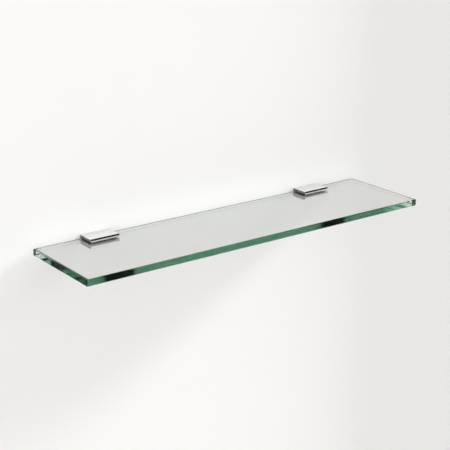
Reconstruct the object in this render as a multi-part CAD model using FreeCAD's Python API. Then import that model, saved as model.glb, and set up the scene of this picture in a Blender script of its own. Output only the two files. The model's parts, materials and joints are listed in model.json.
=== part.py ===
import FreeCAD, Part
import math
import os

# Glass wall shelf held by two chrome clamp brackets.
#
# Frame: +Z up, the wall is the plane y = 0 and the shelf stands out of it towards -Y.
# The origin is on the wall, midway between the brackets, at the height of the wall screws,
# which is also the middle of the glass thickness. Everything is in millimetres.

# Glass panel
GLASS_WIDTH = 600.0
GLASS_DEPTH = 150.0
GLASS_THICKNESS = 10.0
GLASS_ARRIS = 1.0              # polished bevel along every edge

# Bracket casting: a C open to the front, one from each end of the glass
BRACKET_INSET = 102.0          # from the end of the glass to the middle of the bracket
BRACKET_WIDTH = 48.0
BRACKET_DEPTH = 30.0           # from the wall to the front of the jaws
UPPER_JAW = 3.8
LOWER_JAW = 6.5
WEB = 3.0                      # back wall, between the glass and the wall
JAW_BEVEL = 2.0                # sloping front edge of each jaw
EDGE_ROUND = 0.35

# Pads that keep the glass off the metal
PAD_GAP = 0.5                  # how far a pad stands out of its jaw
UPPER_PAD = 1.5
LOWER_PAD = 1.2
BACK_PAD = 0.5
PAD_RIM = 1.2                  # metal left round a pad pocket
PAD_CLEARANCE = 0.1            # round a pad in its pocket
BACK_PAD_MARGIN = 0.4          # between the back pad and either jaw

# Clamping plate under the lower pad, and the set screws that lift it
PLATE = 1.2
SET_SCREW_RADIUS = 2.5
SET_SCREW_PITCH = 0.8
SET_SCREW_LENGTH = 4.4
SET_SCREW_SPACING = 24.0
SET_SCREW_CHAMFER = 0.5
SET_SCREW_RUNNING = 0.05       # radial, in the tapped hole
SOCKET_FLATS = 2.5
SOCKET_DEPTH = 2.2
RELEASE_TURNS = 1.0            # turns that free the glass
PLATE_FLOOR_GAP = 0.1          # left under the plate when it is right down
TAPPED_HOLE_COUNTERSINK = 0.4

# Wall screws and their plugs
WALL_SCREW_SPACING = 26.0
WALL_SCREW_RADIUS = 2.0
WALL_SCREW_ROOT = 1.4
WALL_SCREW_LENGTH = 35.0
WALL_SCREW_HEAD = 3.8          # head radius
WALL_SCREW_THREAD = 29.0       # threaded length, from the tip
WALL_SCREW_PITCH = 1.8
WALL_SCREW_TIP = 4.0
HEAD_RIM = 0.3                 # short cylinder round the top of the head
HEAD_SUNK = 0.1                # head below the face of the web
SHANK_CLEARANCE = 0.25         # radial, in the web
HEAD_CLEARANCE = 0.15          # radial, round the head
CROSS_WIDTH = 1.1
CROSS_SPAN = 4.4
CROSS_DEPTH = 1.9
PLUG_RADIUS = 3.0
PLUG_LENGTH = 30.0
PLUG_NECK = 11.0               # plain length behind the wall face
PLUG_BORE_CLEARANCE = 0.05     # radial, round the screw thread
PLUG_TEETH = 6
PLUG_TOOTH_DEPTH = 0.35
PLUG_SUNK = 0.3                # plug mouth behind the wall face
PLUG_SLOT = 0.9
PLUG_TIP_WALL = 0.8            # left whole at the end of the slots

# Levels and places that follow from the sizes above
GLASS_TOP = GLASS_THICKNESS / 2
GLASS_BOTTOM = -GLASS_THICKNESS / 2
GLASS_BACK = -(WEB + BACK_PAD)
JAW_UNDER = GLASS_TOP + PAD_GAP            # underside of the upper jaw
JAW_OVER = GLASS_BOTTOM - PAD_GAP          # top of the lower jaw
BRACKET_TOP = JAW_UNDER + UPPER_JAW
BRACKET_BOTTOM = JAW_OVER - LOWER_JAW
PLATE_BOTTOM = GLASS_BOTTOM - LOWER_PAD - PLATE
RELEASE_TRAVEL = RELEASE_TURNS * SET_SCREW_PITCH
LOWER_POCKET_FLOOR = PLATE_BOTTOM - RELEASE_TRAVEL - PLATE_FLOOR_GAP
POCKET_BACK = GLASS_BACK                   # pockets stop where the back pad begins
POCKET_FRONT = -(BRACKET_DEPTH - PAD_RIM)
BRACKET_CENTRE = GLASS_WIDTH / 2 - BRACKET_INSET
SIDES = {"left": -1, "right": 1}
PLACES = {"outer": 1, "inner": -1}


def vec(x, y, z):
    return FreeCAD.Vector(x, y, z)


def block(x0, x1, y0, y1, z0, z1):
    """A box given by its lowest and highest corners."""
    return Part.makeBox(x1 - x0, y1 - y0, z1 - z0, vec(x0, y0, z0))


def turned(profile, axis):
    """A closed (radius, height) outline turned about an axis through the origin."""
    points = [vec(radius, 0, height) for radius, height in profile]
    face = Part.Face(Part.makePolygon(points + points[:1]))
    solid = face.revolve(vec(0, 0, 0), vec(0, 0, 1), 360)
    solid.Placement = FreeCAD.Placement(vec(0, 0, 0), FreeCAD.Rotation(vec(0, 0, 1), axis))
    return solid


def set_screw_places(centre, side):
    """Where the set screws stand in a bracket, by name."""
    middle = (POCKET_BACK + POCKET_FRONT) / 2
    half = SET_SCREW_SPACING / 2
    return {name: vec(centre + side * way * half, middle, 0) for name, way in PLACES.items()}


def wall_screw_places(centre, side):
    """Where the wall screws go through the web, by name."""
    half = WALL_SCREW_SPACING / 2
    return {name: vec(centre + side * way * half, 0, 0) for name, way in PLACES.items()}


def glass_shelf():
    half = GLASS_WIDTH / 2
    panel = block(-half, half, GLASS_BACK - GLASS_DEPTH, GLASS_BACK, GLASS_BOTTOM, GLASS_TOP)
    return panel.makeChamfer(GLASS_ARRIS, panel.Edges)


def pocket(centre, clearance, z0, z1):
    """The recess for a pad, or with no clearance left round it, the pad itself."""
    half = BRACKET_WIDTH / 2 - PAD_RIM - clearance
    return block(centre - half, centre + half, POCKET_FRONT + clearance, POCKET_BACK - clearance, z0, z1)


def bracket_blank(centre):
    """The outside of a bracket: a bevelled block with its free edges rounded."""
    outline = [
        (0, BRACKET_BOTTOM),
        (0, BRACKET_TOP),
        (JAW_BEVEL - BRACKET_DEPTH, BRACKET_TOP),
        (-BRACKET_DEPTH, BRACKET_TOP - JAW_BEVEL),
        (-BRACKET_DEPTH, BRACKET_BOTTOM + JAW_BEVEL),
        (JAW_BEVEL - BRACKET_DEPTH, BRACKET_BOTTOM),
    ]
    left_end = centre - BRACKET_WIDTH / 2
    points = [vec(left_end, y, z) for y, z in outline]
    face = Part.Face(Part.makePolygon(points + points[:1]))
    blank = face.extrude(vec(BRACKET_WIDTH, 0, 0))
    free = [edge for edge in blank.Edges if edge.BoundBox.YMin < -WEB]
    return blank.makeFillet(EDGE_ROUND, free)


def wall_screw_hole(place):
    """The countersunk hole in the web for one wall screw."""
    bore = WALL_SCREW_RADIUS + SHANK_CLEARANCE
    mouth = WALL_SCREW_HEAD + HEAD_CLEARANCE
    rim = HEAD_SUNK + HEAD_RIM
    profile = [
        (0, 0),
        (mouth, 0),
        (mouth, rim),
        (bore, rim + mouth - bore),
        (bore, WEB),
        (0, WEB),
    ]
    hole = turned(profile, vec(0, 1, 0))
    hole.translate(place + vec(0, -WEB, 0))
    return hole


def tapped_hole(place):
    """The hole in the floor of the lower jaw for one set screw, opened a little at its mouth."""
    bore = SET_SCREW_RADIUS + SET_SCREW_RUNNING
    mouth = bore + TAPPED_HOLE_COUNTERSINK
    depth = LOWER_POCKET_FLOOR - BRACKET_BOTTOM
    profile = [
        (0, 0),
        (mouth, 0),
        (bore, TAPPED_HOLE_COUNTERSINK),
        (bore, depth),
        (0, depth),
    ]
    hole = turned(profile, vec(0, 0, 1))
    hole.translate(place + vec(0, 0, BRACKET_BOTTOM))
    return hole


def bracket(centre, side):
    half = BRACKET_WIDTH / 2
    slot = block(centre - half, centre + half, -BRACKET_DEPTH, -WEB, JAW_OVER, JAW_UNDER)
    upper_pocket = pocket(centre, 0, JAW_UNDER, GLASS_TOP + UPPER_PAD)
    lower_pocket = pocket(centre, 0, LOWER_POCKET_FLOOR, JAW_OVER)
    cuts = [slot, upper_pocket, lower_pocket]
    cuts += [wall_screw_hole(place) for place in wall_screw_places(centre, side).values()]
    cuts += [tapped_hole(place) for place in set_screw_places(centre, side).values()]
    return bracket_blank(centre).cut(cuts)


def upper_pad(centre):
    return pocket(centre, PAD_CLEARANCE, GLASS_TOP, GLASS_TOP + UPPER_PAD)


def lower_pad(centre):
    return pocket(centre, PAD_CLEARANCE, GLASS_BOTTOM - LOWER_PAD, GLASS_BOTTOM)


def pressure_plate(centre):
    return pocket(centre, PAD_CLEARANCE, PLATE_BOTTOM, PLATE_BOTTOM + PLATE)


def back_pad(centre):
    half = BRACKET_WIDTH / 2 - PAD_RIM
    return block(centre - half, centre + half, GLASS_BACK, -WEB,
                 JAW_OVER + BACK_PAD_MARGIN, JAW_UNDER - BACK_PAD_MARGIN)


def hexagon(flats, height):
    """An upright hexagonal bar, for a key socket."""
    corner = flats / math.sqrt(3)
    points = [vec(corner * math.cos(turn * math.pi / 3), corner * math.sin(turn * math.pi / 3), 0)
              for turn in range(6)]
    return Part.Face(Part.makePolygon(points + points[:1])).extrude(vec(0, 0, height))


def set_screw(place):
    """A set screw with its flat point up against the plate and its key socket facing down."""
    inner = SET_SCREW_RADIUS - SET_SCREW_CHAMFER
    profile = [
        (0, 0),
        (inner, 0),
        (SET_SCREW_RADIUS, SET_SCREW_CHAMFER),
        (SET_SCREW_RADIUS, SET_SCREW_LENGTH - SET_SCREW_CHAMFER),
        (inner, SET_SCREW_LENGTH),
        (0, SET_SCREW_LENGTH),
    ]
    screw = turned(profile, vec(0, 0, 1)).cut(hexagon(SOCKET_FLATS, SOCKET_DEPTH))
    screw.translate(place + vec(0, 0, PLATE_BOTTOM - SET_SCREW_LENGTH))
    return screw


def wall_screw(place):
    """A countersunk cross-head screw: head in the web, threaded shank in the plug."""
    throat = HEAD_RIM + WALL_SCREW_HEAD - WALL_SCREW_ROOT
    profile = [(0, 0), (WALL_SCREW_HEAD, 0), (WALL_SCREW_HEAD, HEAD_RIM), (WALL_SCREW_ROOT, throat)]
    thread_end = WALL_SCREW_LENGTH - WALL_SCREW_TIP
    turns = int((thread_end - (WALL_SCREW_LENGTH - WALL_SCREW_THREAD)) / WALL_SCREW_PITCH)
    for turn in range(turns):
        start = thread_end - (turns - turn) * WALL_SCREW_PITCH
        profile += [
            (WALL_SCREW_ROOT, start),
            (WALL_SCREW_RADIUS, start + 0.45 * WALL_SCREW_PITCH),
            (WALL_SCREW_RADIUS, start + 0.55 * WALL_SCREW_PITCH),
        ]
    profile += [(WALL_SCREW_ROOT, thread_end), (0, WALL_SCREW_LENGTH)]
    screw = turned(profile, vec(0, 1, 0))
    span = CROSS_SPAN / 2
    width = CROSS_WIDTH / 2
    screw = screw.cut([
        block(-span, span, 0, CROSS_DEPTH, -width, width),
        block(-width, width, 0, CROSS_DEPTH, -span, span),
    ])
    screw.translate(place + vec(0, HEAD_SUNK - WEB, 0))
    return screw


def wall_plug(place):
    """A nylon plug: plain neck, then barbed legs that the screw spreads."""
    bore = WALL_SCREW_RADIUS + PLUG_BORE_CLEARANCE
    tooth = (PLUG_LENGTH - PLUG_NECK) / PLUG_TEETH
    profile = [(bore, 0), (PLUG_RADIUS, 0)]
    for count in range(PLUG_TEETH):
        start = PLUG_NECK + count * tooth
        profile += [(PLUG_RADIUS, start), (PLUG_RADIUS - PLUG_TOOTH_DEPTH, start + 0.2 * tooth)]
    profile += [(PLUG_RADIUS - PLUG_TOOTH_DEPTH, PLUG_LENGTH), (bore, PLUG_LENGTH)]
    plug = turned(profile, vec(0, 1, 0))
    reach = PLUG_RADIUS + PLUG_TOOTH_DEPTH
    half = PLUG_SLOT / 2
    slot_end = PLUG_LENGTH - PLUG_TIP_WALL
    plug = plug.cut([
        block(-reach, reach, PLUG_NECK, slot_end, -half, half),
        block(-half, half, PLUG_NECK, slot_end, -reach, reach),
    ])
    plug.translate(place + vec(0, PLUG_SUNK, 0))
    return plug


def bracket_parts(name, side):
    """Every piece of one clamp, by node name."""
    centre = side * BRACKET_CENTRE
    parts = {
        name + "_bracket": bracket(centre, side),
        name + "_upper_pad": upper_pad(centre),
        name + "_back_pad": back_pad(centre),
        name + "_lower_pad": lower_pad(centre),
        name + "_pressure_plate": pressure_plate(centre),
    }
    for place_name, place in set_screw_places(centre, side).items():
        parts[name + "_" + place_name + "_set_screw"] = set_screw(place)
    for place_name, place in wall_screw_places(centre, side).items():
        parts[name + "_" + place_name + "_wall_screw"] = wall_screw(place)
        parts[name + "_" + place_name + "_wall_plug"] = wall_plug(place)
    return parts


def main():
    nodes = {"glass_shelf": glass_shelf()}
    for name, side in SIDES.items():
        nodes.update(bracket_parts(name, side))
    os.makedirs("parts", exist_ok=True)
    for node, shape in nodes.items():
        shape.exportStep("parts/" + node + ".step")
        print(node, shape.isValid(), len(shape.Solids), round(shape.Volume, 2))


main()
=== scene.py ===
import json
import math

import bmesh
import bpy
from mathutils import Matrix, Vector


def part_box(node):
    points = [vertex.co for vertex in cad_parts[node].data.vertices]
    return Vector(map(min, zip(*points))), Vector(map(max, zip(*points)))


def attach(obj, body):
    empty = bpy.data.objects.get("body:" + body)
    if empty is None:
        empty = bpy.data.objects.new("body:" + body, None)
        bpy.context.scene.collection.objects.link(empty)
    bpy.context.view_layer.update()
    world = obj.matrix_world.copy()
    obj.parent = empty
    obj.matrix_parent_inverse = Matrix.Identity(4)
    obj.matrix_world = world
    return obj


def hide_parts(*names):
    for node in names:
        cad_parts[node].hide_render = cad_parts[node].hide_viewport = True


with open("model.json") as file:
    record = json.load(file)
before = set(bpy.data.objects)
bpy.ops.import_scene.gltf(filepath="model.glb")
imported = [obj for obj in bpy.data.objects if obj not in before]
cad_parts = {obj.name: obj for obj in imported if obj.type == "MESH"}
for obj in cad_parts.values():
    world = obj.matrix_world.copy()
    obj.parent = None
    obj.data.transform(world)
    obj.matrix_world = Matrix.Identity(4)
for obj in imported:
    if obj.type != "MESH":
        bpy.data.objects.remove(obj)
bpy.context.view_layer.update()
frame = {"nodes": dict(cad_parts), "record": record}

# A clear glass shelf held to a pale wall by two polished chrome clamps. Metres, +Z up, the wall is y = 0
# and the shelf stands out of it towards -Y.

SIDES = ("left", "right")
PLACES = ("outer", "inner")
MM = 0.001


# ---------------------------------------------------------------- node helpers

def new_material(name):
    """An empty node material: its tree, its Principled shader and its output."""
    material = bpy.data.materials.new(name)
    material.use_nodes = True
    tree = material.node_tree
    tree.nodes.clear()
    shader = tree.nodes.new("ShaderNodeBsdfPrincipled")
    output = tree.nodes.new("ShaderNodeOutputMaterial")
    tree.links.new(shader.outputs["BSDF"], output.inputs["Surface"])
    return material, tree, shader, output


def new_group(name, inputs, outputs):
    """A shader node group with named sockets, given as (name, kind, default)."""
    tree = bpy.data.node_groups.new(name, "ShaderNodeTree")
    for socket_name, kind, default in inputs:
        socket = tree.interface.new_socket(socket_name, in_out="INPUT", socket_type="NodeSocket" + kind)
        if default is not None:
            socket.default_value = default
    for socket_name, kind in outputs:
        tree.interface.new_socket(socket_name, in_out="OUTPUT", socket_type="NodeSocket" + kind)
    return tree, tree.nodes.new("NodeGroupInput"), tree.nodes.new("NodeGroupOutput")


def place_group(tree, group, **values):
    """The group in a material, with its own values; underscores in a name stand for spaces."""
    node = tree.nodes.new("ShaderNodeGroup")
    node.node_tree = group
    for name, value in values.items():
        node.inputs[name.replace("_", " ")].default_value = value
    return node


def maths(tree, operation, first, second=None, third=None, clamp=False):
    """One Math node; sockets are linked and numbers are set."""
    node = tree.nodes.new("ShaderNodeMath")
    node.operation = operation
    node.use_clamp = clamp
    for slot, value in enumerate((first, second, third)):
        if value is None:
            continue
        if isinstance(value, (int, float)):
            node.inputs[slot].default_value = value
        else:
            tree.links.new(value, node.inputs[slot])
    return node.outputs[0]


def spread(tree, value, low, high, out_low, out_high):
    """A Map Range node."""
    node = tree.nodes.new("ShaderNodeMapRange")
    tree.links.new(value, node.inputs["Value"])
    for name, number in (("From Min", low), ("From Max", high), ("To Min", out_low), ("To Max", out_high)):
        node.inputs[name].default_value = number
    return node.outputs["Result"]


def noise(tree, coords, scale, detail, roughness):
    """Noise in object space; scale is in features to the metre."""
    node = tree.nodes.new("ShaderNodeTexNoise")
    node.inputs["Scale"].default_value = scale
    node.inputs["Detail"].default_value = detail
    node.inputs["Roughness"].default_value = roughness
    tree.links.new(coords, node.inputs["Vector"])
    return node.outputs["Fac"]


def object_coords(tree):
    """The place in the piece's own space, in metres."""
    return tree.nodes.new("ShaderNodeTexCoord").outputs["Object"]


def grey(level):
    """A neutral colour."""
    return (level, level, level, 1.0)


def parts_of(tree, vector):
    """A vector's X, Y and Z."""
    split = tree.nodes.new("ShaderNodeSeparateXYZ")
    tree.links.new(vector, split.inputs[0])
    return split.outputs


def mixed(tree, mask, first, second):
    """Two colours by a mask."""
    node = tree.nodes.new("ShaderNodeMix")
    node.data_type = "RGBA"
    tree.links.new(mask, node.inputs["Factor"])
    for slot, colour in ((6, first), (7, second)):
        if isinstance(colour, tuple):
            node.inputs[slot].default_value = colour
        else:
            tree.links.new(colour, node.inputs[slot])
    return node.outputs[2]


def mixed_shaders(tree, mask, first, second):
    """Two shaders by a mask."""
    node = tree.nodes.new("ShaderNodeMixShader")
    tree.links.new(mask, node.inputs["Fac"])
    tree.links.new(first, node.inputs[1])
    tree.links.new(second, node.inputs[2])
    return node.outputs[0]


def bumped(tree, height, distance, strength):
    """A Bump node; distance is in metres."""
    node = tree.nodes.new("ShaderNodeBump")
    node.inputs["Distance"].default_value = distance
    node.inputs["Strength"].default_value = strength
    tree.links.new(height, node.inputs["Height"])
    return node.outputs["Normal"]


# ----------------------------------------------------- effects that more than one finish uses

def make_handling_group():
    """Faint smears and dust: a roughness that changes over the surface and a mask of settled dust."""
    tree, gate, out = new_group(
        "handling",
        [("Roughness", "Float", 0.1), ("Smear", "Float", 0.05), ("Size", "Float", 60.0),
         ("Dust", "Float", 0.1)],
        [("Roughness", "Float"), ("Dust", "Float")],
    )
    coords = object_coords(tree)
    broad = noise(tree, coords, 1.0, 4.0, 0.6)
    tree.links.new(gate.outputs["Size"], broad.node.inputs["Scale"])
    smear = spread(tree, broad, 0.42, 0.68, 0.0, 1.0)
    rough = maths(tree, "MULTIPLY_ADD", smear, gate.outputs["Smear"], gate.outputs["Roughness"])
    tree.links.new(rough, out.inputs["Roughness"])
    specks = spread(tree, noise(tree, coords, 1500.0, 2.0, 0.7), 0.62, 0.75, 0.0, 1.0)
    upward = parts_of(tree, tree.nodes.new("ShaderNodeNewGeometry").outputs["Normal"])["Z"]
    settled = maths(tree, "MULTIPLY", specks, maths(tree, "MAXIMUM", upward, 0.0))
    tree.links.new(maths(tree, "MULTIPLY", settled, gate.outputs["Dust"]), out.inputs["Dust"])
    return tree


def make_grain_group():
    """Fine drawn lines along one way of the metal: a height."""
    tree, gate, out = new_group(
        "drawn_grain",
        [("Across", "Float", 4000.0), ("Along X", "Float", 0.02), ("Along Y", "Float", 1.0),
         ("Along Z", "Float", 1.0)],
        [("Height", "Float")],
    )
    combine = tree.nodes.new("ShaderNodeCombineXYZ")
    for axis in "XYZ":
        tree.links.new(gate.outputs["Along " + axis], combine.inputs[axis])
    product = tree.nodes.new("ShaderNodeVectorMath")
    product.operation = "MULTIPLY"
    tree.links.new(object_coords(tree), product.inputs[0])
    tree.links.new(combine.outputs[0], product.inputs[1])
    lines = noise(tree, product.outputs[0], 1.0, 2.0, 0.6)
    tree.links.new(gate.outputs["Across"], lines.node.inputs["Scale"])
    tree.links.new(lines, out.inputs["Height"])
    return tree


HANDLING = make_handling_group()
GRAIN = make_grain_group()


# ------------------------------------------------------------------ finishes

GLASS_IOR = 1.52
GLASS_TINT = (1.0, 0.925, 0.955, 1.0)       # a trace of pink, which balances the green of the depth
# painted shade: the strip along the back and end edges of the top gets this near-black colour
PAINTED_SHADE_LINE_COLOUR = grey(0.01)
PAINTED_SHADE_LINE_WIDTH = 3.4 * MM                       # the fine dark line of painted shade on the top, next to the back and end edges
PAINTED_SHADE_LINE_DEPTH = 0.1 * MM
EDGE_TILT = 0.5                             # faces whose normal has less Z than this are edges
BEVEL_TILT = 0.9                            # and with less Z than this, edges or bevels
END_FACING = 0.5                            # faces whose normal has more X than this are at the ends
GROUND_ROUGHNESS = 0.2
CLEAR_SHARE = 0.85                          # how much of an edge's outside does not mirror the room
GLOW_ALONG, GLOW_AT_ENDS = 0.9, 0.5         # the ground edges' soft light, along the shelf and at its ends
GLOW_FADE = (1.5 * MM, 3.0 * MM, 1.0, 0.12)     # two heights, and the shares of the glow at them
CORNER_ALONG, CORNER_ACROSS = 14 * MM, 19 * MM  # how far the dark corners reach
ABSORBED = (0.097, 0.484, 0.29, 1.0)
ABSORPTION = 15.5                           # to the metre
SHADE_TINT = (0.55, 0.52, 0.535, 1.0)       # what passes towards a lamp
BOUNCE_TINT = (1.0, 0.95, 0.975, 1.0)       # what passes of light from matt surfaces
EDGE_TINT = grey(0.85)


def painted_shade_line_mask(tree, place, high):
    """The strip of the top next to the back and end edges, where a line of painted shade goes."""
    shade_line = maths(
        tree, "MAXIMUM",
        maths(tree, "GREATER_THAN", maths(tree, "ABSOLUTE", place["X"]), high.x - PAINTED_SHADE_LINE_WIDTH),
        maths(tree, "GREATER_THAN", place["Y"], high.y - PAINTED_SHADE_LINE_WIDTH),
    )
    return maths(tree, "MULTIPLY", shade_line, maths(tree, "GREATER_THAN", place["Z"], high.z - PAINTED_SHADE_LINE_DEPTH))


def glow_share(tree, place, low, high, ground, end):
    """How much the ground edges glow: most in their lower half, and not next to a corner."""
    lower_part = spread(tree, place["Z"], *GLOW_FADE)
    most = maths(tree, "MULTIPLY_ADD", end, GLOW_AT_ENDS - GLOW_ALONG, GLOW_ALONG)
    share = maths(tree, "MULTIPLY", maths(tree, "MULTIPLY", ground, most), lower_part)
    at_end = maths(tree, "GREATER_THAN", maths(tree, "ABSOLUTE", place["X"]), high.x - CORNER_ALONG)
    at_front = maths(tree, "LESS_THAN", place["Y"], low.y + CORNER_ACROSS)
    at_corner = maths(
        tree, "ADD",
        maths(tree, "MULTIPLY", at_end, maths(tree, "SUBTRACT", 1.0, end)),
        maths(tree, "MULTIPLY", at_front, end),
    )
    return maths(tree, "MULTIPLY", share, maths(tree, "SUBTRACT", 1.0, at_corner))


def glass_finish():
    """Clear float glass, green in depth. Its edges are finely ground: from outside they hardly mirror the
    room, and their insides are matt and glow softly. Shadow rays and rays from matt surfaces pass straight
    through, with a tint."""
    material, tree, shader, output = new_material("float_glass")
    low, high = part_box("glass_shelf")
    place = parts_of(tree, object_coords(tree))
    shade_line = painted_shade_line_mask(tree, place, high)
    # painted shade: a near-black line is painted on the top along the back and end edges
    tree.links.new(mixed(tree, shade_line, GLASS_TINT, PAINTED_SHADE_LINE_COLOUR), shader.inputs["Base Color"])
    shader.inputs["IOR"].default_value = GLASS_IOR
    shader.inputs["Transmission Weight"].default_value = 1.0
    surface = tree.nodes.new("ShaderNodeNewGeometry")
    facing = parts_of(tree, surface.outputs["True Normal"])
    steep = maths(tree, "ABSOLUTE", facing["Z"])
    edge = maths(tree, "LESS_THAN", steep, EDGE_TILT)
    end = maths(tree, "GREATER_THAN", maths(tree, "ABSOLUTE", facing["X"]), END_FACING)
    ground = maths(tree, "MULTIPLY", edge, surface.outputs["Backfacing"])
    tree.links.new(maths(tree, "MULTIPLY", ground, GROUND_ROUGHNESS), shader.inputs["Roughness"])
    outer = maths(
        tree, "MULTIPLY",
        maths(tree, "LESS_THAN", steep, BEVEL_TILT),
        maths(tree, "MULTIPLY_ADD", surface.outputs["Backfacing"], -CLEAR_SHARE, CLEAR_SHARE),
    )
    clear_edge = tree.nodes.new("ShaderNodeBsdfRefraction")
    clear_edge.inputs["IOR"].default_value = GLASS_IOR
    clear_edge.inputs["Roughness"].default_value = 0.0
    outside = mixed_shaders(tree, outer, shader.outputs["BSDF"], clear_edge.outputs["BSDF"])
    glow = tree.nodes.new("ShaderNodeBsdfTranslucent")
    glow.inputs["Color"].default_value = grey(1.0)
    share = glow_share(tree, place, low, high, ground, end)
    panel = mixed_shaders(tree, share, outside, glow.outputs["BSDF"])
    depth = tree.nodes.new("ShaderNodeVolumeAbsorption")
    depth.inputs["Color"].default_value = ABSORBED
    depth.inputs["Density"].default_value = ABSORPTION
    tree.links.new(depth.outputs["Volume"], output.inputs["Volume"])
    path = tree.nodes.new("ShaderNodeLightPath")
    clear = tree.nodes.new("ShaderNodeBsdfTransparent")
    passed = mixed(tree, path.outputs["Is Shadow Ray"], BOUNCE_TINT, SHADE_TINT)
    tree.links.new(mixed(tree, edge, passed, EDGE_TINT), clear.inputs["Color"])
    unseen = maths(tree, "MAXIMUM", path.outputs["Is Shadow Ray"], path.outputs["Is Diffuse Ray"])
    tree.links.new(mixed_shaders(tree, unseen, panel, clear.outputs["BSDF"]), output.inputs["Surface"])
    return material


CHROME_COLOUR = (0.86, 0.865, 0.87, 1.0)
# painted shade: the end faces get this dark grey in place of the bright plate
CHROME_PAINTED_SHADE_END_COLOUR = (0.22, 0.222, 0.225, 1.0)
CHROME_END_ROUGHER = 0.2                        # added to the roughness of the end faces
CHROME_END_FACING = 0.8                         # faces whose normal has more X than this are ends
DUST_ON_CHROME = (0.6, 0.6, 0.58, 1.0)


def chrome_finish():
    """Polished chrome plating with faint smears. The end faces are a little rougher and are painted dark
    grey, as painted shade."""
    material, tree, shader, _ = new_material("polished_chrome")
    shader.inputs["Metallic"].default_value = 1.0
    handling = place_group(tree, HANDLING, Roughness=0.03, Smear=0.04, Size=90.0, Dust=0.15)
    facing = parts_of(tree, tree.nodes.new("ShaderNodeNewGeometry").outputs["True Normal"])
    ends = maths(tree, "GREATER_THAN", maths(tree, "ABSOLUTE", facing["X"]), CHROME_END_FACING)
    rough = maths(tree, "MULTIPLY_ADD", ends, CHROME_END_ROUGHER, handling.outputs["Roughness"])
    tree.links.new(rough, shader.inputs["Roughness"])
    dusted_plate = mixed(tree, handling.outputs["Dust"], CHROME_COLOUR, DUST_ON_CHROME)
    # painted shade: the end faces are coloured dark grey
    tree.links.new(mixed(tree, ends, dusted_plate, CHROME_PAINTED_SHADE_END_COLOUR), shader.inputs["Base Color"])
    ripple = noise(tree, object_coords(tree), 160.0, 2.0, 0.5)
    tree.links.new(bumped(tree, ripple, 0.00001, 0.6), shader.inputs["Normal"])
    return material


def rubber_finish(name, colour):
    """Matt rubber with fine pores."""
    material, tree, shader, _ = new_material(name)
    handling = place_group(tree, HANDLING, Roughness=0.62, Smear=0.2, Size=200.0, Dust=0.3)
    tree.links.new(handling.outputs["Roughness"], shader.inputs["Roughness"])
    tree.links.new(
        mixed(tree, handling.outputs["Dust"], colour, (0.2, 0.2, 0.19, 1.0)),
        shader.inputs["Base Color"],
    )
    pores = noise(tree, object_coords(tree), 5000.0, 2.0, 0.6)
    tree.links.new(bumped(tree, pores, 0.00002, 0.8), shader.inputs["Normal"])
    return material


def steel_finish(name, colour, roughness, across, along):
    """Bare or plated steel with a drawn or turned grain."""
    material, tree, shader, _ = new_material(name)
    shader.inputs["Metallic"].default_value = 1.0
    handling = place_group(tree, HANDLING, Roughness=roughness, Smear=0.12, Size=400.0, Dust=0.2)
    tree.links.new(handling.outputs["Roughness"], shader.inputs["Roughness"])
    darker = tuple(0.6 * part for part in colour[:3]) + (1.0,)
    stain = spread(tree, noise(tree, object_coords(tree), 700.0, 3.0, 0.6), 0.5, 0.7, 0.0, 0.5)
    tree.links.new(mixed(tree, stain, colour, darker), shader.inputs["Base Color"])
    grain = place_group(tree, GRAIN, Across=across, Along_X=along[0], Along_Y=along[1], Along_Z=along[2])
    tree.links.new(bumped(tree, grain.outputs["Height"], 0.00001, 0.8), shader.inputs["Normal"])
    return material


def nylon_finish():
    """Moulded grey nylon, a little waxy."""
    material, tree, shader, _ = new_material("grey_nylon")
    handling = place_group(tree, HANDLING, Roughness=0.38, Smear=0.15, Size=300.0, Dust=0.2)
    tree.links.new(handling.outputs["Roughness"], shader.inputs["Roughness"])
    cloud = spread(tree, noise(tree, object_coords(tree), 250.0, 3.0, 0.6), 0.35, 0.7, 0.0, 1.0)
    tree.links.new(
        mixed(tree, cloud, (0.33, 0.34, 0.35, 1.0), (0.27, 0.28, 0.29, 1.0)),
        shader.inputs["Base Color"],
    )
    shader.inputs["Subsurface Weight"].default_value = 0.1
    shader.inputs["Subsurface Scale"].default_value = 0.001
    skin = noise(tree, object_coords(tree), 2600.0, 2.0, 0.5)
    tree.links.new(bumped(tree, skin, 0.00002, 0.5), shader.inputs["Normal"])
    return material


GLASS = glass_finish()
CHROME = chrome_finish()
RUBBER = rubber_finish("black_rubber", (0.012, 0.012, 0.013, 1.0))
BACK_RUBBER = rubber_finish("grey_rubber", (0.085, 0.09, 0.085, 1.0))
ROLLED_STEEL = steel_finish("rolled_steel", (0.55, 0.55, 0.56, 1.0), 0.28, 5000.0, (0.02, 1.0, 1.0))
TURNED_STEEL = steel_finish("turned_steel", (0.42, 0.42, 0.43, 1.0), 0.25, 6000.0, (0.2, 0.2, 1.0))
ZINC = steel_finish("bright_zinc", (0.72, 0.74, 0.78, 1.0), 0.24, 6000.0, (0.2, 1.0, 0.2))
NYLON = nylon_finish()


# --------------------------------------------------------------- making pieces

def box_size(node):
    """A CAD node's lowest corner, highest corner and middle."""
    low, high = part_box(node)
    return low, high, (low + high) / 2


def link_piece(name, mesh, material):
    """A new object at the origin with one material."""
    mesh.materials.clear()
    mesh.materials.append(material)
    piece = bpy.data.objects.new(name, mesh)
    bpy.context.scene.collection.objects.link(piece)
    return piece


def stand_for(piece, node):
    """The piece takes a CAD node's place and body: the node is hidden and the piece joins its body."""
    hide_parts(node)
    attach(piece, BODY_OF[node])
    return piece


def smooth_by_angle(mesh, degrees):
    """Smooth shading that stays crisp at edges sharper than this."""
    mesh.shade_smooth()
    mesh.set_sharp_from_angle(angle=math.radians(degrees))


def paint(node, material):
    """A better material on a CAD node's own slots."""
    shape = frame["nodes"][node]
    if not shape.material_slots:
        shape.data.materials.append(material)
    for slot in shape.material_slots:
        slot.material = material


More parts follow.
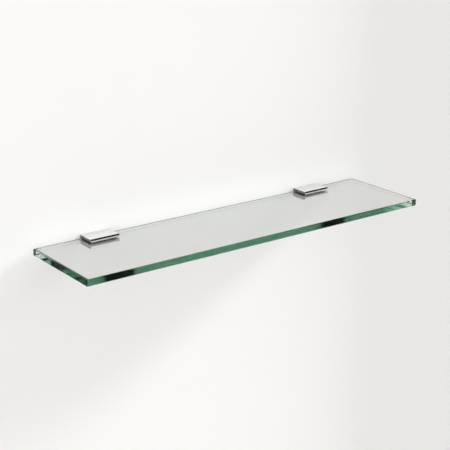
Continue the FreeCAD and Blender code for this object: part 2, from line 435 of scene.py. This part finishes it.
def finished_copy(node, name, material):
    """A CAD node's shape with its triangles joined, so that its rounded edges shade smoothly."""
    shape = bmesh.new()
    shape.from_mesh(frame["nodes"][node].data)
    bmesh.ops.remove_doubles(shape, verts=shape.verts, dist=MERGE)
    mesh = bpy.data.meshes.new(name)
    shape.to_mesh(mesh)
    shape.free()
    smooth_by_angle(mesh, CASTING_CREASE)
    return stand_for(link_piece(name, mesh, material), node)


def rounded_slab(node, name, material, slot_name, corner, edge, shrink_low, shrink_high):
    """A flat pad or plate with round corners and softened edges, drawn in a little from its CAD box."""
    low, high, _ = box_size(node)
    low, high = low + Vector(shrink_low), high - Vector(shrink_high)
    shape = bmesh.new()
    bmesh.ops.create_cube(shape, size=1.0)
    for vertex in shape.verts:
        vertex.co = Vector([low[i] if vertex.co[i] < 0 else high[i] for i in range(3)])
    thin = min(range(3), key=lambda axis: high[axis] - low[axis])
    upright = [e for e in shape.edges if abs((e.verts[0].co - e.verts[1].co)[thin]) > MERGE]
    bmesh.ops.bevel(shape, geom=upright, offset=corner, segments=6, affect="EDGES", profile=0.5)
    rim = [e for e in shape.edges if abs((e.verts[0].co - e.verts[1].co)[thin]) < MERGE
           and e.calc_face_angle(0) > FOLD]
    bmesh.ops.bevel(shape, geom=rim, offset=edge, segments=3, affect="EDGES", profile=0.5)
    mesh = bpy.data.meshes.new(name)
    shape.to_mesh(mesh)
    shape.free()
    smooth_by_angle(mesh, SLAB_CREASE)
    return stand_for(link_piece(name, mesh, material), node)


def lofted(name, rings, first, last):
    """A closed mesh through rings of points, closed at each end on one middle point."""
    mesh = bpy.data.meshes.new(name)
    around = len(rings[0])
    points = [point for ring in rings for point in ring] + [first, last]
    start, end = len(points) - 2, len(points) - 1
    faces = []
    for row in range(len(rings) - 1):
        for step in range(around):
            a, b = row * around + step, row * around + (step + 1) % around
            faces.append((a, b, b + around, a + around))
    top = (len(rings) - 1) * around
    for step in range(around):
        after = (step + 1) % around
        faces.append((start, after, step))
        faces.append((top + step, top + after, end))
    mesh.from_pydata(points, [], faces)
    return mesh


def ring_at(height, radius_at):
    """One ring of points at a height, with its radius as a function of the turn."""
    turns = [2 * math.pi * step / AROUND for step in range(AROUND)]
    return [(radius_at(t) * math.cos(t), radius_at(t) * math.sin(t), height) for t in turns]


def circle(radius):
    """The radius of a round outline at each turn."""
    return lambda turn: radius


def hexagon(flats):
    """The radius of a hexagonal outline at each turn."""
    half = flats / 2
    return lambda turn: half / math.cos((turn + math.pi / 6) % (math.pi / 3) - math.pi / 6)


def cross(width, span):
    """The radius of a cross-shaped outline at each turn."""
    def radius(turn):
        along, across = abs(math.cos(turn)) + 1e-6, abs(math.sin(turn)) + 1e-6
        return max(min(span / along, width / across), min(span / across, width / along))
    return radius


# ------------------------------------------------------------------ screw threads

CREST = 1.06                    # over one, so that a thread's ridge has a narrow flat
SLIMMEST = 0.55                 # a thread is never cut deeper than this share of the radius


def make_thread_tree():
    """Cuts a right-hand helical thread about Z into a blank: between two heights, each point is drawn in
    towards the root unless it lies on the ridge."""
    tree = bpy.data.node_groups.new("screw_thread", "GeometryNodeTree")
    tree.interface.new_socket("Geometry", in_out="OUTPUT", socket_type="NodeSocketGeometry")
    tree.interface.new_socket("Geometry", in_out="INPUT", socket_type="NodeSocketGeometry")
    for name in ("Pitch", "Root", "Ridge", "Start", "End"):
        tree.interface.new_socket(name, in_out="INPUT", socket_type="NodeSocketFloat")
    tree.interface.new_socket("Material", in_out="INPUT", socket_type="NodeSocketMaterial")
    gate, out = tree.nodes.new("NodeGroupInput"), tree.nodes.new("NodeGroupOutput")
    place = tree.nodes.new("GeometryNodeInputPosition").outputs[0]
    x, y, z = parts_of(tree, place)
    squares = maths(tree, "ADD", maths(tree, "POWER", x, 2.0), maths(tree, "POWER", y, 2.0))
    radius = maths(tree, "SQRT", squares)
    turn = maths(tree, "DIVIDE", maths(tree, "ARCTAN2", y, x), 2 * math.pi)
    climb = maths(tree, "DIVIDE", z, gate.outputs["Pitch"])
    phase = maths(tree, "FRACT", maths(tree, "SUBTRACT", climb, turn))
    away = maths(tree, "ABSOLUTE", maths(tree, "SUBTRACT", maths(tree, "MULTIPLY", phase, 2.0), 1.0))
    steep = maths(tree, "DIVIDE", away, gate.outputs["Ridge"])
    ridge = maths(tree, "SUBTRACT", CREST, steep, clamp=True)
    root = maths(tree, "MINIMUM", gate.outputs["Root"], maths(tree, "MULTIPLY", radius, SLIMMEST))
    cut = maths(tree, "MULTIPLY_ADD", maths(tree, "SUBTRACT", radius, root), ridge, root)
    share = maths(tree, "DIVIDE", cut, maths(tree, "MAXIMUM", radius, 1e-7))
    inside = maths(
        tree, "MULTIPLY",
        maths(tree, "GREATER_THAN", z, gate.outputs["Start"]),
        maths(tree, "LESS_THAN", z, gate.outputs["End"]),
    )
    drawn = tree.nodes.new("ShaderNodeCombineXYZ")
    tree.links.new(maths(tree, "MULTIPLY", x, share), drawn.inputs[0])
    tree.links.new(maths(tree, "MULTIPLY", y, share), drawn.inputs[1])
    tree.links.new(z, drawn.inputs[2])
    move = tree.nodes.new("GeometryNodeSetPosition")
    tree.links.new(gate.outputs["Geometry"], move.inputs["Geometry"])
    tree.links.new(inside, move.inputs["Selection"])
    tree.links.new(drawn.outputs[0], move.inputs["Position"])
    solid = tree.nodes.new("GeometryNodeRealizeInstances")
    dress = tree.nodes.new("GeometryNodeSetMaterial")
    tree.links.new(move.outputs[0], solid.inputs[0])
    tree.links.new(solid.outputs[0], dress.inputs["Geometry"])
    tree.links.new(gate.outputs["Material"], dress.inputs["Material"])
    tree.links.new(dress.outputs[0], out.inputs[0])
    return tree


def run_tree(tree, blank, **values):
    """The plain mesh that a Geometry Nodes tree makes of a blank with these inputs."""
    holder = bpy.data.objects.new("blank", blank)
    bpy.context.scene.collection.objects.link(holder)
    modifier = holder.modifiers.new("tree", "NODES")
    modifier.node_group = tree
    for item in tree.interface.items_tree:
        if item.in_out == "INPUT" and item.name in values:
            modifier[item.identifier] = values[item.name]
    view = bpy.context.evaluated_depsgraph_get()
    mesh = bpy.data.meshes.new_from_object(holder.evaluated_get(view), depsgraph=view)
    holder.modifiers.remove(modifier)
    bpy.data.objects.remove(holder)
    return mesh


def spaced(start, end, step):
    """Heights from start to end, no further apart than a step."""
    count = max(1, math.ceil((end - start) / step))
    return [start + (end - start) * row / count for row in range(count + 1)]


def set_screw_mesh(radius, length):
    """A set screw standing on its socket end, with its flat point upwards."""
    chamfer, depth = 0.5 * MM, 2.2 * MM
    rings = [
        ring_at(depth, hexagon(SOCKET)),
        ring_at(0.12 * MM, hexagon(SOCKET)),
        ring_at(0, hexagon(1.07 * SOCKET)),
        ring_at(0, circle(radius - chamfer)),
    ]
    rings += [ring_at(z, circle(radius)) for z in spaced(chamfer, length - chamfer, M5_PITCH / 16)]
    rings += [ring_at(length, circle(radius - chamfer)), ring_at(length, circle(0.62 * radius))]
    blank = lofted("set_screw_blank", rings, (0, 0, depth + 0.3 * MM), (0, 0, length - 0.15 * MM))
    return run_tree(
        THREAD, blank, Pitch=M5_PITCH, Root=radius - M5_DEPTH, Ridge=0.94, Start=0.3 * MM,
        End=length - 0.3 * MM, Material=TURNED_STEEL,
    )


def wall_screw_mesh(head, length):
    """A countersunk cross-head wood screw with its head face at the origin and its point upwards."""
    shank, thread, root = 1.45 * MM, 2.0 * MM, 1.35 * MM
    rim = 0.3 * MM
    throat = rim + head - shank
    start, taper = 6.0 * MM, length - 5.0 * MM
    width, span, depth = 0.55 * MM, 2.2 * MM, 1.9 * MM
    rings = [
        ring_at(depth, cross(0.55 * width, 0.45 * span)),
        ring_at(0.1 * MM, cross(0.95 * width, 0.95 * span)),
        ring_at(0, cross(1.12 * width, 1.03 * span)),
        ring_at(0, circle(head - 0.12 * MM)),
        ring_at(0.1 * MM, circle(head)),
        ring_at(rim, circle(head)),
        ring_at(throat, circle(shank)),
        ring_at(start, circle(shank)),
    ]
    grow = 1.2 * MM
    for z in spaced(start + 0.05 * MM, length - 0.3 * MM, SCREW_PITCH / 14):
        lead_in = min(1.0, (z - start) / grow)
        point = 1.0 if z < taper else ((length - z) / (length - taper)) ** 0.8
        rings.append(ring_at(z, circle((shank + (thread - shank) * lead_in) * point)))
    blank = lofted("wall_screw_blank", rings, (0, 0, depth + 0.2 * MM), (0, 0, length))
    return run_tree(
        THREAD, blank, Pitch=SCREW_PITCH, Root=root, Ridge=0.42, Start=start + 0.1 * MM,
        End=length - 0.25 * MM, Material=ZINC,
    )


def place_mesh(mesh, way, origin):
    """Turns a mesh made along +Z to point along a way, and moves it to its place."""
    turn = Vector((0, 0, 1)).rotation_difference(Vector(way)).to_matrix().to_4x4()
    mesh.transform(turn)
    mesh.transform(Matrix.Translation(origin))
    mesh.update()
    smooth_by_angle(mesh, SCREW_CREASE)


# ------------------------------------------------------------------ the object

MERGE = 1e-6                    # points closer than this are one
FOLD = 1.0                      # faces that meet at a larger angle than this, in radians, have a real edge
CASTING_CREASE, SLAB_CREASE, SCREW_CREASE = 32, 40, 38      # degrees above which an edge stays crisp
AROUND = 60                     # points around a screw
SOCKET = 2.5 * MM               # across the flats of a set screw's key socket
M5_PITCH = 0.8 * MM
M5_DEPTH = 0.61 * M5_PITCH
SCREW_PITCH = 1.8 * MM
HAIR = 0.04 * MM                # air left between the pads and the glass
SKIN = 0.02 * MM                # air left between a pad or plate and its pocket
BODY_OF = {
    node: body
    for body, nodes in frame["record"]["behaviour"]["bodies"].items()
    for node in nodes
}
THREAD = make_thread_tree()


def build_glass():
    """The glass keeps its CAD shape and gets its finish."""
    paint("glass_shelf", GLASS)


# Each pad or plate: its node, new name, finish and slot, how round its corners and its edges are, and how
# much it is drawn in at its low and at its high sides.
SLABS = (
    ("upper_pad", "upper_rubber", RUBBER, "pad_rubber", 1.0 * MM, 0.15 * MM,
     (SKIN, SKIN, HAIR), (SKIN, SKIN, 0)),
    ("lower_pad", "lower_rubber", RUBBER, "pad_rubber", 1.0 * MM, 0.15 * MM,
     (SKIN, SKIN, 0), (SKIN, SKIN, HAIR)),
    ("back_pad", "back_rubber", BACK_RUBBER, "pad_rubber", 0.8 * MM, 0.08 * MM,
     (SKIN, HAIR, SKIN), (SKIN, 0, SKIN)),
    ("pressure_plate", "steel_plate", ROLLED_STEEL, "plate_steel", 1.0 * MM, 0.12 * MM,
     (SKIN, SKIN, 0), (SKIN, SKIN, 0)),
)


def build_clamp(side):
    """One bracket with all that it holds."""
    finished_copy(side + "_bracket", side + "_clamp_casting", CHROME)
    for node, name, *rest in SLABS:
        rounded_slab(side + "_" + node, side + "_" + name, *rest)
    for place in PLACES:
        name = side + "_" + place
        build_set_screw(name)
        build_wall_screw(name)
        finished_copy(name + "_wall_plug", name + "_nylon_plug", NYLON)


def build_set_screw(name):
    """A set screw, turned from below."""
    low, high, middle = box_size(name + "_set_screw")
    mesh = set_screw_mesh((high.x - low.x) / 2, high.z - low.z)
    place_mesh(mesh, (0, 0, 1), Vector((middle.x, middle.y, low.z)))
    piece = link_piece(name + "_threaded_set_screw", mesh, TURNED_STEEL)
    stand_for(piece, name + "_set_screw")


def build_wall_screw(name):
    """A wall screw, with its head in the web and its point in the plug."""
    low, high, middle = box_size(name + "_wall_screw")
    mesh = wall_screw_mesh((high.x - low.x) / 2, high.y - low.y)
    place_mesh(mesh, (0, 1, 0), Vector((middle.x, low.y, middle.z)))
    piece = link_piece(name + "_threaded_wall_screw", mesh, ZINC)
    stand_for(piece, name + "_wall_screw")


# ------------------------------------------------------------------ wall, floor, light and camera

WALL_GAP = 0.2 * MM
WALL_REACH = 4.0
FLOOR_DROP = 1.2
KEY_WAY = Vector((0.86, -0.21, 0.46)).normalized()     # from the shelf to the lamp


def wall_finish():
    """Smooth pale paint that is seen from the room only; from behind, the wall is clear."""
    material, tree, shader, output = new_material("wall_paint")
    shader.inputs["Base Color"].default_value = (0.90, 0.893, 0.882, 1.0)
    shader.inputs["Roughness"].default_value = 0.9
    shader.inputs["Specular IOR Level"].default_value = 0.2
    roller = noise(tree, object_coords(tree), 900.0, 3.0, 0.6)
    tree.links.new(bumped(tree, roller, 0.00005, 0.3), shader.inputs["Normal"])
    clear = tree.nodes.new("ShaderNodeBsdfTransparent").outputs["BSDF"]
    behind = tree.nodes.new("ShaderNodeNewGeometry").outputs["Backfacing"]
    tree.links.new(mixed_shaders(tree, behind, shader.outputs["BSDF"], clear), output.inputs["Surface"])
    return material


def floor_finish():
    """Pale, slightly clouded screed."""
    material, tree, shader, _ = new_material("pale_floor")
    shader.inputs["Roughness"].default_value = 0.7
    cloud = noise(tree, object_coords(tree), 1.5, 3.0, 0.5)
    tree.links.new(mixed(tree, cloud, (0.80, 0.795, 0.785, 1.0), (0.84, 0.835, 0.825, 1.0)),
                   shader.inputs["Base Color"])
    return material


def build_wall():
    """The wall, left open behind each bracket so that the brackets' backs can be seen and lit from behind."""
    inset = 1.5 * MM
    backs = [box_size(side + "_bracket") for side in SIDES]
    openings = [x for low, high, _ in backs for x in (low.x + inset, high.x - inset)]
    across = sorted([-WALL_REACH, WALL_REACH] + openings)
    up = [-FLOOR_DROP, backs[0][0].z + inset, backs[0][1].z - inset, WALL_REACH]
    points = [(x, WALL_GAP, z) for z in up for x in across]
    faces = []
    for row in range(len(up) - 1):
        for column in range(len(across) - 1):
            if row == 1 and column in (1, 3):       # the two openings
                continue
            a = row * len(across) + column
            faces.append((a, a + 1, a + 1 + len(across), a + len(across)))
    mesh = bpy.data.meshes.new("room_wall")
    mesh.from_pydata(points, [], faces)
    link_piece("room_wall", mesh, wall_finish())


def build_floor():
    """A floor well below the shelf."""
    reach = 2 * WALL_REACH
    mesh = bpy.data.meshes.new("room_floor")
    corners = [(-reach, -reach), (reach, -reach), (reach, reach), (-reach, reach)]
    mesh.from_pydata([(x, y, -FLOOR_DROP) for x, y in corners], [], [(0, 1, 2, 3)])
    link_piece("room_floor", mesh, floor_finish())


def area_light(name, place, target, size, power):
    """A white lamp that faces a target."""
    light = bpy.data.lights.new(name, "AREA")
    light.shape = "DISK"
    light.size = size
    light.energy = power
    holder = bpy.data.objects.new(name, light)
    bpy.context.scene.collection.objects.link(holder)
    holder.location = place
    holder.rotation_mode = "QUATERNION"
    holder.rotation_quaternion = (Vector(target) - Vector(place)).to_track_quat("-Z", "Y")
    return holder


def dot(tree, first, second):
    """How far a direction lies along a fixed one."""
    node = tree.nodes.new("ShaderNodeVectorMath")
    node.operation = "DOT_PRODUCT"
    tree.links.new(first, node.inputs[0])
    node.inputs[1].default_value = second
    return node.outputs["Value"]


def build_flag():
    """A board out of sight beside the wall, which keeps the lamp off the right of it."""
    mesh = bpy.data.meshes.new("lamp_flag")
    near, far, reach, out = 0.64, 1.4, 1.5, -0.1
    corners = [(near, -reach), (far, -reach), (far, reach), (near, reach)]
    mesh.from_pydata([(x, out, z) for x, z in corners], [], [(0, 1, 2, 3)])
    flag = link_piece("lamp_flag", mesh, floor_finish())
    flag.visible_camera = False
    flag.visible_diffuse = False
    flag.visible_glossy = False
    flag.visible_transmission = False


KEY_POWER = 2.4
KEY_ANGLE = 0.18                                        # how soft the key lamp's shadows are
BACK_PLACE, BACK_SIZE, BACK_POWER = (0.9, 1.6, 1.1), 0.8, 30.0
BOUNCE_PLACE, BOUNCE_TARGET = (0, -0.032, 0.013), (0, 0, 0.02)
BOUNCE_LENGTH, BOUNCE_WIDTH, BOUNCE_POWER = 0.6, 0.004, 0.021


def build_light():
    """A soft lamp from high on the right, close along the wall, one behind the wall, an unseen strip along
    the shelf for the light that the glass throws onto the wall, and an even surround."""
    sun = bpy.data.lights.new("key_light", "SUN")
    sun.energy = KEY_POWER
    sun.angle = KEY_ANGLE
    key = bpy.data.objects.new("key_light", sun)
    bpy.context.scene.collection.objects.link(key)
    key.rotation_mode = "QUATERNION"
    key.rotation_quaternion = KEY_WAY.to_track_quat("Z", "Y")
    area_light("back_light", BACK_PLACE, (0, -0.05, 0), BACK_SIZE, BACK_POWER)
    bounce = area_light("bounce_light", BOUNCE_PLACE, BOUNCE_TARGET, BOUNCE_LENGTH, BOUNCE_POWER)
    bounce.data.shape = "RECTANGLE"
    bounce.data.size_y = BOUNCE_WIDTH
    bounce.visible_camera = False
    bounce.visible_glossy = False
    bounce.visible_transmission = False
    build_surround()


OVAL_WAY = Vector((0.584, -0.573, 0.573)).normalized()          # from the shelf to the oval's middle
OVAL_ACROSS = Vector((0.8115, 0.4133, -0.4133)).normalized()
OVAL_HALF_WIDTH, OVAL_HALF_HEIGHT = 0.27, 0.6
OVAL_EDGE = (0.8, 1.3)                                          # where its soft edge starts and ends
OVAL_LEVEL, ROOM_LEVEL = 0.03, 1.24


def build_surround():
    """An even pale room with one dark oval, high on the right, which the chrome mirrors in its bevels."""
    world = bpy.data.worlds.new("studio")
    bpy.context.scene.world = world
    world.use_nodes = True
    world.cycles.sampling_method = "NONE"
    tree = world.node_tree
    tree.nodes.clear()
    way = tree.nodes.new("ShaderNodeTexCoord").outputs["Generated"]
    out = maths(tree, "POWER", maths(tree, "DIVIDE", dot(tree, way, OVAL_ACROSS), OVAL_HALF_WIDTH), 2.0)
    upward = dot(tree, way, OVAL_ACROSS.cross(OVAL_WAY))
    along = maths(tree, "POWER", maths(tree, "DIVIDE", upward, OVAL_HALF_HEIGHT), 2.0)
    oval = spread(tree, maths(tree, "ADD", out, along), *OVAL_EDGE, 0.0, 1.0)
    behind = maths(tree, "LESS_THAN", dot(tree, way, OVAL_WAY), 0.0)
    level = spread(tree, maths(tree, "MAXIMUM", oval, behind), 0.0, 1.0, OVAL_LEVEL, ROOM_LEVEL)
    sky = tree.nodes.new("ShaderNodeBackground")
    tree.links.new(level, sky.inputs["Strength"])
    output = tree.nodes.new("ShaderNodeOutputWorld")
    tree.links.new(sky.outputs[0], output.inputs["Surface"])


AZIMUTH, ELEVATION = math.radians(-36.343), math.radians(18.375)
LENS, SENSOR = 93.8, 36.0
CAMERA_OFFSET = Vector((-0.9985, -1.4025, 0.5479))              # from the middle of the glass's top back edge


def build_camera():
    """A long lens from the front left, a little above the shelf."""
    low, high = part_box("glass_shelf")
    top_back = Vector(((low.x + high.x) / 2, high.y, high.z))
    back = Vector((
        math.sin(AZIMUTH) * math.cos(ELEVATION),
        -math.cos(AZIMUTH) * math.cos(ELEVATION),
        math.sin(ELEVATION),
    ))
    lens = bpy.data.cameras.new("camera")
    lens.lens = LENS
    lens.sensor_width = SENSOR
    camera = bpy.data.objects.new("camera", lens)
    bpy.context.scene.collection.objects.link(camera)
    camera.location = top_back + CAMERA_OFFSET
    camera.rotation_mode = "QUATERNION"
    camera.rotation_quaternion = (-back).to_track_quat("-Z", "Y")
    bpy.context.scene.camera = camera


def set_colour_and_paths():
    """Plain colours, and light paths long enough for the glass and the chrome."""
    scene = bpy.context.scene
    scene.view_settings.view_transform = "Standard"
    scene.view_settings.look = "None"
    scene.cycles.max_bounces = 32
    scene.cycles.transmission_bounces = 32
    scene.cycles.glossy_bounces = 24
    scene.cycles.transparent_max_bounces = 16


build_glass()
for side in SIDES:
    build_clamp(side)
build_wall()
build_floor()
build_flag()
build_light()
build_camera()
set_colour_and_paths()
